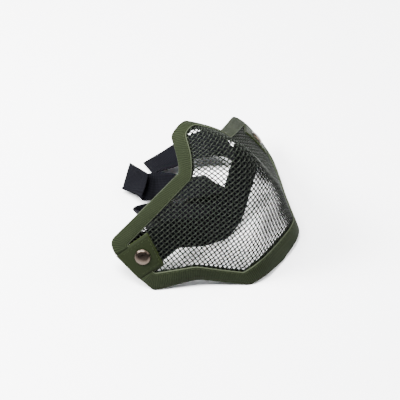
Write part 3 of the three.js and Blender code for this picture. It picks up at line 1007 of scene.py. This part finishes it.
@dataclass
class WovenShell:
    """Steel wires woven over and under on the pressed surface."""

    palette: Palette
    pitch: float = 2.9
    wire_radius: float = 0.475
    # The cross wires get more painted highlight on their crests than the upright wires, as if they faced the
    # light.
    cross_highlight_and_wear: float = 1.15
    upright_highlight_and_wear: float = 0.7
    # Spread of the crests' painted highlight and wear: mean, swing with the weave, and slope round each wire.
    highlight_wear_mean: float = 0.65
    highlight_wear_swing: float = 0.35
    highlight_wear_slope: float = 2.2
    sides: int = 6
    steps: int = 4
    shortest_run: int = 3
    start_down: float = 62.0
    turn: float = math.radians(11)
    count_across: int = 52
    count_up: int = 46
    count_down: int = 50
    tuck: float = 3.8
    stride_rounds: int = 4
    fill_rounds: int = 8
    fill_stride: float = 1.5
    fill_top: float = -40.0
    fill_bottom: float = 170.0
    least_det: float = 1e-9

    def walk(self, count: int, heading: Array) -> tuple[Array, Array]:
        """Follows the surface straight ahead from the net's middle.

        Args:
            count: Number of steps, each one pitch long.
            heading: First direction.

        Returns:
            Across and down of each step.
        """
        places = [np.array([0.0, self.start_down])]
        for _ in range(count):
            p, q = places[-1]
            here = SHELL.point(p, q)[0]
            axes = np.vstack(SHELL.slopes(np.array([p + OFF_CENTRE]), np.array([q])))
            stride = np.linalg.solve(axes @ axes.T, axes @ heading)
            stride *= self.pitch / np.linalg.norm(stride @ axes)
            for _ in range(self.stride_rounds):
                there = SHELL.point(*(places[-1] + stride))[0]
                stride *= self.pitch / np.linalg.norm(there - here)
            places.append(places[-1] + stride)
            heading = unit(SHELL.point(*places[-1])[0] - here)
        across, down = np.array(places).T
        return across, down

    def fill(self, column: tuple[Array, Array], row: tuple[Array, Array]) -> Array:
        """Fills a quarter of the net so that every side of a mesh is one pitch long.

        Args:
            column: First upright wire from the middle.
            row: First cross wire from the middle.

        Returns:
            Grid of across and down pairs.
        """
        rows, columns = len(column[0]), len(row[0])
        net = np.zeros((rows, columns, 2))
        net[:, 0] = np.stack(column, -1)
        net[0] = np.stack(row, -1)
        for diagonal in range(2, rows + columns - 1):
            i = np.arange(max(1, diagonal - columns + 1), min(rows - 1, diagonal - 1) + 1)
            j = diagonal - i
            first, second = SHELL.point(*net[i - 1, j].T), SHELL.point(*net[i, j - 1].T)
            p, q = (net[i - 1, j] + net[i, j - 1] - net[i - 1, j - 1]).T
            q = np.clip(q, self.fill_top, self.fill_bottom)
            for _ in range(self.fill_rounds):
                here = SHELL.point(p, q)
                sideways, downwards = SHELL.slopes(p, q)
                a, b = 2 * (here - first), 2 * (here - second)
                fa = np.sum((here - first) ** 2, -1) - self.pitch**2
                fb = np.sum((here - second) ** 2, -1) - self.pitch**2
                a_p, a_q = np.sum(a * sideways, -1), np.sum(a * downwards, -1)
                b_p, b_q = np.sum(b * sideways, -1), np.sum(b * downwards, -1)
                det = a_p * b_q - a_q * b_p
                det = np.where(np.abs(det) < self.least_det, self.least_det, det)
                p = p - np.clip((fa * b_q - fb * a_q) / det, -self.fill_stride, self.fill_stride)
                q = q - np.clip((a_p * fb - b_p * fa) / det, -self.fill_stride, self.fill_stride)
            net[i, j] = np.stack([p, q], -1)
        return net

    def net(self) -> Array:
        """Whole net from its four quarters, rows from top to bottom.

        Returns:
            Grid of across and down pairs at the crossings.
        """
        _, downwards = SHELL.slopes(np.array([OFF_CENTRE]), np.array([self.start_down]))
        level, plumb = np.array([1.0, 0, 0]), unit(downwards[0])
        left = math.cos(self.turn) * level - math.sin(self.turn) * plumb
        below = math.sin(self.turn) * level + math.cos(self.turn) * plumb
        to_left, to_right = self.walk(self.count_across, left), self.walk(self.count_across, -left)
        to_chin, to_nose = self.walk(self.count_down, below), self.walk(self.count_up, -below)
        lower, upper = (
            np.hstack([self.fill(column, to_right)[:, ::-1], self.fill(column, to_left)[:, 1:]])
            for column in (to_chin, to_nose)
        )
        return np.vstack([upper[::-1], lower[1:]])

    def outline(self) -> Array:
        """Line that the wires end at, tucked under the tapes and tabs.

        Returns:
            Across and down pairs of the closed outline.
        """
        upper = SHELL.inset(*edge_paths(TOP_EDGE, True), self.tuck)
        lower = SHELL.inset(*edge_paths(BOTTOM_EDGE, False), self.tuck)
        return np.vstack([upper, lower[::-1]])

    @staticmethod
    def inside(places: Array, outline: Array) -> Array:
        """Which places lie inside a closed outline.

        Args:
            places: Across and down pairs.
            outline: Across and down pairs of the outline.

        Returns:
            One truth value for each place.
        """
        x, y = places[:, 0][:, None], places[:, 1][:, None]
        ax, ay = outline.T
        bx, by = np.roll(outline, -1, axis=0).T
        spans = (ay > y) != (by > y)
        with np.errstate(divide="ignore", invalid="ignore"):
            crossing = (bx - ax) * (y - ay) / (by - ay) + ax
        return (np.sum(spans & (x < crossing), axis=1) % 2).astype(bool)

    def smooth(self, nodes: Array) -> Array:
        """Adds steps between crossings on a smooth curve.

        Args:
            nodes: Across and down pairs of one wire's crossings.

        Returns:
            Pairs at every step.
        """
        before = np.vstack([2 * nodes[0] - nodes[1], nodes[:-1]])
        after = np.vstack([nodes[1:], 2 * nodes[-1] - nodes[-2]])
        slope = (after - before) / 2
        t = np.arange(self.steps)[None, :, None] / self.steps
        curve = cubic(t, *(v[:, None, :] for v in (nodes[:-1], nodes[1:], slope[:-1], slope[1:])))
        return np.vstack([curve.reshape(-1, 2), nodes[-1:]])

    def wires(self, net: Array, phase: int, outline: Array) -> list[tuple[Array, Array]]:
        """Wires of one direction, cut at the outline.

        Args:
            net: Crossings, one row for each wire.
            phase: Which crossings pass over.
            outline: Where wires end.

        Returns:
            For each run of wire, its centre line and how far it stands out, from -1 to 1.
        """
        runs = []
        for number, nodes in enumerate(net):
            places = self.smooth(nodes)
            wave = np.cos(np.pi * np.arange(len(places)) / self.steps) * (-1) ** (number + phase)
            change = np.diff(np.concatenate([[0], self.inside(places, outline).astype(int), [0]]))
            for start, end in zip(np.flatnonzero(change == 1), np.flatnonzero(change == -1)):
                if end - start >= self.shortest_run:
                    runs.append((places[start:end], wave[start:end]))
        return runs

    def tubes(self, runs: list[tuple[Array, Array]], name: str, wear_and_highlight: float) -> Piece:
        """Round wires over a list of runs, as one piece.

        Args:
            runs: Centre lines and lifts.
            name: Name of the piece.
            wear_and_highlight: How much paler the crests are, partly rubbed-off paint and partly painted
                highlight.

        Returns:
            The piece.
        """
        points, faces, crest_wear_and_highlight, count = [], [], [], 0
        turn = np.linspace(0, FULL_TURN, self.sides, endpoint=False) + math.pi / self.sides
        # Each wire is paler on its outer side and on its high crossings: partly worn paint, partly painted
        # highlight.
        outside = np.clip(self.highlight_wear_slope * np.sin(turn) - (self.highlight_wear_slope - 1), 0, 1)
        for places, lift in runs:
            normal = SHELL.normal(*places.T)
            centre = SHELL.point(*places.T) + normal * (lift * self.wire_radius)[:, None]
            points.append(MeshMaker.tube(centre, normal, self.wire_radius, turn))
            faces.extend(MeshMaker.capped_faces(len(places), self.sides, count))
            crest_wear_and_highlight.append(np.outer(wear_and_highlight * (self.highlight_wear_mean + self.highlight_wear_swing * lift), outside).ravel())
            count += len(places) * self.sides
        obj = MeshMaker.piece(name, np.vstack(points), faces, self.palette.wire)
        MeshMaker.store(obj, "crest_wear_and_highlight", np.concatenate(crest_wear_and_highlight))
        return obj

    def build(self) -> list[Piece]:
        """Makes the wires of both directions.

        Returns:
            The cross wires and the upright wires.
        """
        net, outline = self.net(), self.outline()
        across, upwards = self.wires(net, 0, outline), self.wires(net.transpose(1, 0, 2), 1, outline)
        # The cross wires get the stronger painted highlight.
        cross = self.tubes(across, "mesh_cross_wires", self.cross_highlight_and_wear)
        upright = self.tubes(upwards, "mesh_upright_wires", self.upright_highlight_and_wear)
        for obj in (cross, upright):
            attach(obj, BODY)
            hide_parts("mesh_shell")
        return [cross, upright]


# Folded cloth on the edges

# Angles round the fold, and shares of the way from the fold to the inner edge
FOLD_ANGLES = (12, 34, 56, 78)
LEAF_SHARES = (0.0, 0.12, 0.25, 0.4, 0.55, 0.7, 0.82, 0.91, 0.965)
# Rounding of the inner edge: inset past the cloth's width, and lift past its outside and its underside
EDGE_OUTSIDE = ((-0.08, -0.12), (0.0, -0.35))
EDGE_UNDERSIDE = ((-0.05, 0.1), (-0.3, 0.0))
# Lengths of the small waves along a cloth
WAVES = (3.1, 4.7, 7.9)


@dataclass
class FoldedCloth:
    """Section of a cloth folded over the mesh, as inset from the fold and lift off the mesh."""

    fold: float = 1.7
    face: float = LAYER_FACE
    crown: float = 0.18
    edge_drop: float = 0.35
    drop_start: float = 0.6
    edge_lift: float = 1.02
    slot_inset: float = 2.5
    slot_crown: float = 0.05
    puff: float = 0.1
    puff_above: float = 1.4

    def leaf(self, width: float) -> list[tuple[float, float]]:
        """Half of the section, from the fold round to the slot.

        Args:
            width: Distance from the fold to the inner edge.

        Returns:
            Inset and lift pairs of the outer leaf.
        """
        bend = np.radians(FOLD_ANGLES)
        rows = [(self.fold * (1 - math.cos(a)), self.face * math.sin(a)) for a in bend]
        for share in LEAF_SHARES:
            inset = self.fold + (width - self.fold) * share
            drop = self.edge_drop * max(0.0, (share - self.drop_start) / (1 - self.drop_start)) ** 2
            rows.append((inset, self.face + self.crown * math.sin(math.pi * share) - drop))
        rows += [(width + past, self.face - self.edge_drop + lift) for past, lift in EDGE_OUTSIDE]
        rows += [(width + past, self.edge_lift + lift) for past, lift in EDGE_UNDERSIDE]
        rows.append(((width + self.slot_inset) / 2, self.edge_lift + self.slot_crown))
        rows.append((self.slot_inset, self.edge_lift))
        return rows

    def rings(self, free: Array, inner: Array, seed: int, body: Array | None = None) -> tuple[Array, Array]:
        """Rings of the folded cloth along an edge.

        Args:
            free: Across and down of the fold.
            inner: Across and down of the inner edge.
            seed: Chooses the small waves of the cloth.
            body: Share of the cloth's thickness at each ring, less where it is tucked under another.

        Returns:
            Points, ring by ring, and each point's lie: along, across and distance from the edge.
        """
        start, end = SHELL.point(*free.T), SHELL.point(*inner.T)
        width = np.linalg.norm(start - end, axis=1)
        along = run_length((start + end) / 2)
        phases = np.random.default_rng(seed).uniform(0, FULL_TURN, len(WAVES))
        wave = sum(np.sin(along / length + phase) for length, phase in zip(WAVES, phases)) / len(WAVES)
        points, lies = [], []
        body = np.ones(len(free)) if body is None else body
        for i in range(len(free)):
            leaf = np.array(self.leaf(width[i]))
            leaf[:, 1] -= (1 - body[i]) * np.maximum(leaf[:, 1] - self.edge_lift, 0)
            ring, lie = [], []
            for side, (inset, lift) in ((1, leaf.T), (-1, leaf[::-1].T)):
                share = inset / width[i]
                place = free[i] + (inner[i] - free[i]) * share[:, None]
                puff = self.puff * wave[i] * np.clip(share, 0, 1) * (lift > self.puff_above)
                ring.append(SHELL.offset(*place.T, side * (lift + puff)))
                lie.append(np.stack([np.full(len(inset), along[i]), side * inset, width[i] - inset], -1))
            points.append(np.vstack(ring))
            lies.append(np.vstack(lie))
        return np.array(points), np.array(lies)


@dataclass
class Binding:
    """Tape folded over one edge of the shell, with its row of stitches."""

    name: str
    rows: tuple[EdgeCorner, ...]
    from_centre: bool
    palette: Palette
    seed: int
    stitch_inset: float = 1.7
    stitch_length: float = 2.6
    stitch_gap: float = 1.1
    stitch_lift: float = LAYER_FACE + 0.02

    def build(self) -> list[Piece]:
        """Makes the tape and its stitches.

        Returns:
            The tape and the stitches.
        """
        free, inner = edge_paths(self.rows, self.from_centre)
        points, lies = FoldedCloth().rings(free, inner, self.seed)
        points[..., 2] = np.maximum(points[..., 2], 0.0)
        tape = MeshMaker.loft(self.name + "_tape", points, lies, self.palette.tape)
        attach(tape, BODY)
        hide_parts(self.name)
        stitches = self.stitches(free, inner)
        return [tape, stitches]

    def stitches(self, free: Array, inner: Array) -> Piece:
        """Row of stitches beside the inner edge, outside and inside.

        Args:
            free: Across and down of the fold.
            inner: Across and down of the inner edge.

        Returns:
            The stitches as one piece.
        """
        line = SHELL.inset(inner, free, self.stitch_inset)
        row = StitchRow(self.palette, self.stitch_length, self.stitch_gap)
        piece = row.build(self.name + "_stitches", [(line, self.stitch_lift), (line, -self.stitch_lift)])
        return piece


# Share of a stitch's length, and of its radius there
STITCH_PROFILE = np.array([[0.0, 0.25], [0.12, 0.8], [0.3, 1.0], [0.7, 1.0], [0.88, 0.8], [1.0, 0.25]])


@dataclass
class StitchRow:
    """Sewn stitches along lines on the shell."""

    palette: Palette
    length: float
    gap: float
    radius: float = 0.24
    sides: int = 6
    start: float = 0.8
    sink: float = 0.22
    lowest: float = 0.25

    def build(self, name: str, lines: list[tuple[Array, float]]) -> Piece:
        """Makes the stitches of some lines.

        Args:
            name: Name of the piece.
            lines: Across and down pairs of each line, and its lift off the mesh.

        Returns:
            All stitches as one piece.
        """
        points, faces, lies, count = [], [], [], 0
        turn = np.linspace(0, FULL_TURN, self.sides, endpoint=False)
        share, size = STITCH_PROFILE.T
        rings = len(share)
        for line, lift in lines:
            along = run_length(SHELL.point(*line.T))
            for start in np.arange(self.start, along[-1] - self.length, self.length + self.gap):
                spots = start + share * self.length
                place = np.stack([np.interp(spots, along, line[:, k]) for k in (0, 1)], -1)
                normal = SHELL.normal(*place.T) * np.sign(lift)
                centre = SHELL.point(*place.T) + normal * (abs(lift) + (size - 1) * self.sink)[:, None]
                centre[:, 2] = np.maximum(centre[:, 2], self.lowest)
                points.append(MeshMaker.tube(centre, normal, self.radius * size, turn))
                faces.extend(MeshMaker.capped_faces(rings, self.sides, count))
                lie = np.zeros((rings * self.sides, 3))
                lie[:, 0] = np.repeat(spots, self.sides)
                lie[:, 1] = np.tile(turn * self.radius, rings)
                lies.append(lie)
                count += rings * self.sides
        piece = MeshMaker.piece(name, np.vstack(points), faces, self.palette.thread)
        MeshMaker.store(piece, "lie", np.vstack(lies))
        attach(piece, BODY)
        return piece


@dataclass
class EarTab:
    """Smoother cloth folded over the ear edge, riveted and stitched."""

    hand: Hand
    palette: Palette
    top: float = 46.2
    bottom: float = 72.3
    inner: float = 92.0
    overhang: float = 0.4
    crown: float = 0.1
    edge_drop: float = 0.25
    tucked: float = 1.0
    tuck_fade: float = 0.9
    tucked_body: float = 0.12
    tucked_inset: float = 1.3
    seed: int = 5
    steps: int = 52
    stitch_inset: float = 1.5
    stitch_outer: float = 2.2
    stitch_length: float = 2.3
    stitch_gap: float = 0.9
    stitch_steps: int = 24

    def build(self) -> list[Piece]:
        """Makes the tab and its stitches.

        Returns:
            The tab and the stitches.
        """
        side = self.hand.value
        levels = np.linspace(self.top, self.bottom, self.steps + 1)
        from_end = np.minimum(levels - self.top, self.bottom - levels)
        fade = np.clip((from_end - self.tucked) / self.tuck_fade, 0, 1)
        body = self.tucked_body + (1 - self.tucked_body) * np.sqrt(fade * (2 - fade))
        edge = ear_edge(levels) + self.overhang - self.tucked_inset * (1 - body)
        free = np.stack([side * edge, levels], -1)
        inner = np.stack([np.full(len(levels), side * self.inner), levels], -1)
        cloth = FoldedCloth(crown=self.crown, edge_drop=self.edge_drop)
        points, lies = cloth.rings(free, inner, self.seed + side, body)
        along = lies[..., 0]
        lies[..., 2] = np.minimum(lies[..., 2], np.minimum(along, along.max() - along))
        name = f"ear_tab_{self.hand.word}"
        tab = MeshMaker.loft(name + "_cloth", points, lies, self.palette.tab)
        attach(tab, BODY)
        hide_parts(name)
        return [tab, self.stitches(name)]

    def stitches(self, name: str) -> Piece:
        """Stitches round three sides of the tab, outside and inside.

        Args:
            name: Name of the tab.

        Returns:
            The stitches as one piece.
        """
        side = self.hand.value
        margin = self.tucked + self.tuck_fade + self.stitch_inset
        top, bottom = self.top + margin, self.bottom - margin
        inner = self.inner + self.stitch_inset
        share = np.linspace(0, 1, self.stitch_steps)
        ends = [((inner, q), (ear_edge(q) - self.stitch_outer, q)) for q in (top, bottom)]
        ends.append(((inner, top), (inner, bottom)))
        lines = []
        for start, end in np.array(ends) * np.array([side, 1]):
            lines.append((start + (end - start) * share[:, None], LAYER_FACE))
        lines += [(line, -LAYER_FACE) for line, _ in lines]
        row = StitchRow(self.palette, self.stitch_length, self.stitch_gap)
        piece = row.build(name + "_stitches", lines)
        return piece


# Sections of the rivet: inner cap and rim as share of the radius and height, and angles of the dome
CAP_ROWS = ((0.0, 1.0), (0.35, 1.0), (0.75, 0.95), (0.93, 0.7), (1.0, 0.35), (1.0, 0.0))
RIM_ROWS = ((0.97, 0.0), (1.0, 0.12), (1.0, 0.32), (0.965, 0.48), (0.93, 0.5), (0.9, 0.62))
DOME_ANGLES = (12, 26, 40, 54, 66, 76, 84)


@dataclass
class Rivet:
    """Domed rivet through the tab, the mesh and the straps."""

    hand: Hand
    palette: Palette
    head: float = 5.8
    dome: float = 1.9
    shank: float = 1.5
    cap: float = 4.6
    cap_thick: float = 1.2
    sides: int = 48

    def profile(self) -> list[tuple[float, float]]:
        """Half section of the rivet, from the inner cap to the dome.

        Returns:
            Radius and height pairs.
        """
        seat = LAYER_FACE + SEAT_GAP
        tail = -(END_STRAP_LAYER + STRAP_THICK / 2 + SEAT_GAP)
        rows = [(self.cap * share, tail - self.cap_thick * high) for share, high in CAP_ROWS]
        rows += [(self.shank, tail), (self.shank, seat)]
        rows += [(self.head * share, seat + high) for share, high in RIM_ROWS]
        radius, rim = rows[-1]
        top = seat + self.dome
        for angle in np.radians(DOME_ANGLES):
            rows.append((radius * math.cos(angle), rim + (top - rim) * math.sin(angle)))
        rows.append((0.0, top))
        return rows

    def build(self) -> Piece:
        """Makes the rivet.

        Returns:
            The rivet.
        """
        across = self.hand.value * RIVET_ACROSS
        centre = SHELL.point(across, RIVET_DOWN)[0]
        axis = SHELL.normal(across, RIVET_DOWN)[0]
        side = unit(np.cross(axis, [0.0, 0.0, 1.0]))
        other = np.cross(axis, side)
        turn = np.linspace(0, FULL_TURN, self.sides, endpoint=False)
        around = np.cos(turn)[:, None] * side + np.sin(turn)[:, None] * other
        rows = self.profile()
        points = [centre + axis * rows[0][1]]
        for radius, height in rows[1:-1]:
            points.extend(centre + axis * height + radius * around)
        points.append(centre + axis * rows[-1][1])
        rings = len(rows) - 2
        faces = MeshMaker.ring_faces(rings, self.sides, 1)
        last = 1 + (rings - 1) * self.sides
        tip = len(points) - 1
        for k in range(self.sides):
            after = (k + 1) % self.sides
            faces.append([0, 1 + k, 1 + after])
            faces.append([tip, last + after, last + k])
        name = f"rivet_{self.hand.word}"
        rivet = MeshMaker.piece(name + "_metal", np.array(points), faces, self.palette.rivet)
        MeshMaker.face_out(rivet)
        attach(rivet, BODY)
        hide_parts(name)
        return rivet


# Straps

# Angles round a selvage
SELVAGE_ANGLES = (50, 0, -50)


@dataclass
class Strap:
    """Woven elastic strap along a route, with rounded selvages."""

    name: str
    palette: Palette
    width: float = STRAP_WIDTH
    thick: float = STRAP_THICK
    lanes: int = 9
    steps: int = 9
    easing: int = 6
    lowest: float = 0.05
    end_slant: float = 0.0
    end_trim: float = 0.0
    slant_reach: float = 20.0

    def seat(self, hand: Hand, layer: float, seat: tuple) -> list[tuple[Array, Array]]:
        """Stations where the strap lies under the rivet and leaves the shell.

        Args:
            hand: Side of the mask.
            layer: Depth of the strap's middle inside the mesh.
            seat: Across, lift and rise of the stations.

        Returns:
            Centre and width direction of each station.
        """
        rows = []
        for across, lift, rise in seat:
            place, down = hand.value * across, RIVET_DOWN - rise
            centre = SHELL.offset(place, down, -layer - lift)[0]
            width = SHELL.point(place, down - 1)[0] - SHELL.point(place, down + 1)[0]
            rows.append((centre, unit(width)))
        return rows

    @staticmethod
    def route(table: tuple[StrapRow, ...], mirror: int = 1) -> list[tuple[Array, Array]]:
        """Stations of a table.

        Args:
            table: Rows of the route.
            mirror: -1 for the other side.

        Returns:
            Centre and width direction of each station.
        """
        rows = []
        for row in table:
            centre = np.array([mirror * row.x, row.y + SHELL.shift_y, row.z])
            rows.append((centre, unit(np.array([mirror * row.wx, row.wy, row.wz], float))))
        return rows

    def curve(self, rows: list[Array]) -> Array:
        """Curve along the stations, with its sharpness taken out and its ends kept.

        Args:
            rows: Values at the stations.

        Returns:
            Values along the strap.
        """
        soft = flowing_curve(np.array(rows), self.steps)
        for _ in range(self.easing):
            soft = np.vstack([soft[:1], (soft[:-2] + 2 * soft[1:-1] + soft[2:]) / 4, soft[-1:]])
        return soft

    def section(self) -> Array:
        """Closed section of the strap with rounded selvages.

        Returns:
            Place across and in thickness of each point.
        """
        edge = self.thick / 2
        flat = self.width / 2 - edge
        rows = [(x, edge) for x in np.linspace(-flat, flat, self.lanes)]
        rows += [(flat + edge * math.cos(a), edge * math.sin(a)) for a in np.radians(SELVAGE_ANGLES)]
        return np.vstack([rows, -np.array(rows)])

    def build(self, stations: list[tuple[Array, Array]]) -> Piece:
        """Makes the strap.

        Args:
            stations: Centre and width direction along the strap.

        Returns:
            The strap.
        """
        centre = self.curve([c for c, _ in stations])
        width = unit(self.curve([w for _, w in stations]))
        along = unit(np.gradient(centre, axis=0))
        side = unit(width - along * np.sum(width * along, -1, keepdims=True))
        face = unit(np.cross(along, side))
        across, deep = self.section().T
        points = centre[:, None] + across[:, None] * side[:, None] + deep[:, None] * face[:, None]
        length = run_length(centre)
        near_end = np.clip(1 - (length[-1] - length) / self.slant_reach, 0, 1)
        longer = self.end_slant * across / self.width - self.end_trim
        points = points + np.outer(near_end, longer)[..., None] * along[:, None]
        points[..., 2] = np.maximum(points[..., 2], self.lowest)
        lie = np.stack(np.broadcast_arrays(length[:, None], across, self.width / 2 - np.abs(across)), -1)
        obj = MeshMaker.loft(self.name + "_elastic", points, lie, self.palette.strap)
        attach(obj, BODY)
        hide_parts(self.name)
        LOG.info("%s is %.0f mm long", self.name, length[-1] - self.end_trim)
        return obj


class StrapSet:
    """The strap from ear to ear and the two loose ends."""

    def __init__(self, palette: Palette) -> None:
        """Keeps the finishes."""
        self.palette = palette

    def build(self) -> list[Piece]:
        """Makes the straps.

        Returns:
            The three straps.
        """
        head = Strap("head_strap", self.palette)
        near = head.seat(Hand.RIGHT, HEAD_STRAP_LAYER, HEAD_SEAT) + head.route(HEAD_ROUTE)
        far = head.seat(Hand.LEFT, HEAD_STRAP_LAYER, HEAD_SEAT) + head.route(HEAD_ROUTE, -1)
        made = [head.build(near + far[::-1])]
        for hand, table, cut in ((Hand.RIGHT, RIGHT_ROUTE, RIGHT_CUT), (Hand.LEFT, LEFT_ROUTE, LEFT_CUT)):
            strap = Strap(f"strap_{hand.word}", self.palette, end_slant=cut[0], end_trim=cut[1])
            made.append(strap.build(strap.seat(hand, END_STRAP_LAYER, END_SEAT) + strap.route(table)))
        return made


# Camera, table and light


@dataclass(frozen=True)
class Lamp:
    """Soft square lamp: where it stands and points, in metres, its side and its watts."""

    name: str
    place: tuple[float, float, float]
    aim: tuple[float, float, float]
    size: float
    power: float

    def build(self) -> None:
        """Adds the lamp to the scene."""
        data = bpy.data.lights.new(self.name, "AREA")
        data.size = self.size
        data.energy = self.power
        obj = bpy.data.objects.new(self.name, data)
        obj.location = self.place
        heading = Vector(self.aim) - Vector(self.place)
        obj.rotation_euler = heading.to_track_quat("-Z", "Y").to_euler()
        bpy.context.scene.collection.objects.link(obj)


LAMPS = (
    Lamp("ceiling", (-0.16, 0.2, 1.15), (0.0, 0.0, 0.03), 0.5, 68.0),
    Lamp("window", (-0.42, 0.64, 0.74), (0.0, 0.0, 0.03), 0.38, 50.0),
    Lamp("room", (0.75, -0.55, 0.7), (0.0, 0.0, 0.04), 0.7, 26.0),
)


@dataclass
class Studio:
    """Table top, soft light and the camera at the photograph's angle."""

    palette: Palette
    azimuth: float = math.radians(-53.8)
    elevation: float = math.radians(50.1)
    distance: float = 0.973
    lens: float = 116.5
    sensor: float = 36.0
    clip_start: float = 0.01
    right_shift: float = 0.02447
    down_shift: float = 0.03178
    target_y: float = 0.020
    target_z: float = 0.045
    table_size: float = 3.0
    sky_colour: Colour = (0.9, 0.93, 1.0)
    sky_strength: float = 0.25

    def camera(self) -> None:
        """Puts the camera where the photograph was taken."""
        flat = math.cos(self.elevation)
        back = Vector(
            (math.sin(self.azimuth) * flat, -math.cos(self.azimuth) * flat, math.sin(self.elevation))
        )
        right = Vector((0, 0, 1)).cross(back).normalized()
        up = back.cross(right)
        target = Vector((0, self.target_y + SHELL.shift_y * MM, self.target_z))
        data = bpy.data.cameras.new("camera")
        data.lens = self.lens
        data.sensor_width = self.sensor
        data.clip_start = self.clip_start
        obj = bpy.data.objects.new("camera", data)
        turn = Matrix((right, up, back)).transposed().to_4x4()
        place = target + right * self.right_shift - up * self.down_shift + back * self.distance
        obj.matrix_world = Matrix.Translation(place) @ turn
        bpy.context.scene.collection.objects.link(obj)
        bpy.context.scene.camera = obj

    def table(self) -> None:
        """Makes the pale table top."""
        half = self.table_size / 2 / MM
        points = half * np.array([[-1, -1, 0], [1, -1, 0], [1, 1, 0], [-1, 1, 0]], float)
        floor = MeshMaker.piece("table_top", points, [[0, 1, 2, 3]], self.palette.floor)

    def surroundings(self) -> None:
        """Makes the even light from all round."""
        world = bpy.data.worlds.new("soft_room")
        world.use_nodes = True
        sky = world.node_tree.nodes["Background"]
        sky.inputs["Color"].default_value = (*self.sky_colour, 1.0)
        sky.inputs["Strength"].default_value = self.sky_strength
        bpy.context.scene.world = world

    def build(self) -> None:
        """Makes the camera, the table, the surroundings and the lamps."""
        self.camera()
        self.table()
        self.surroundings()
        for lamp in LAMPS:
            lamp.build()


def main() -> None:
    """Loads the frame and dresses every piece."""
    logging.basicConfig(level=logging.INFO, format="%(message)s")
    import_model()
    palette = Palette()
    Studio(palette).build()
    pieces: list[Piece] = []
    pieces += StrapSet(palette).build()
    pieces += WovenShell(palette).build()
    pieces += Binding("top_binding", TOP_EDGE, True, palette, 3).build()
    pieces += Binding("bottom_binding", BOTTOM_EDGE, False, palette, 4).build()
    for hand in Hand:
        pieces += EarTab(hand, palette).build()
        pieces.append(Rivet(hand, palette).build())
    for piece in pieces:
        LOG.info("%s: %d faces", piece.name, len(piece.data.polygons))


if __name__ == "__main__":
    main()
